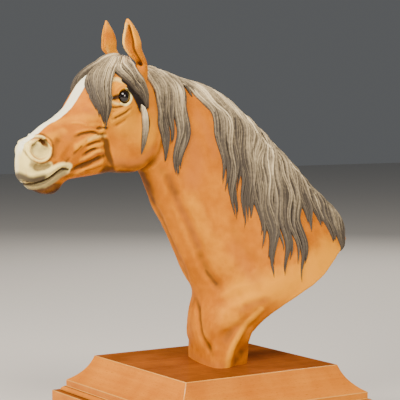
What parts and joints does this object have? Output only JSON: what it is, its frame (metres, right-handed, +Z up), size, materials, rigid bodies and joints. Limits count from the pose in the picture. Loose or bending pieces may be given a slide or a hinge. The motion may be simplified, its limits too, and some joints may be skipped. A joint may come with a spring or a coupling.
{
  "type": "porcelain horse head on a wooden plinth",
  "caption": "Painted porcelain bust of a bay horse, its head and neck with a grey mane, standing on a moulded square wooden plinth.",
  "frame": {"origin": "middle of the plinth's flat underside", "axes": "+Z up, -X the way the horse looks, -Y the horse's left side, where the mane falls"},
  "size_m": [0.2943, 0.205, 0.338],
  "materials": {
    "bisque_porcelain": "matte painted bisque, chestnut coat with a white blaze and a grey mane",
    "polished_mahogany": "reddish brown hardwood with a clear gloss varnish"
  },
  "bodies": {
    "root": {"horse_head": "bisque_porcelain", "plinth_top_board": "polished_mahogany", "plinth_base_board": "polished_mahogany"}
  },
  "joints": []
}
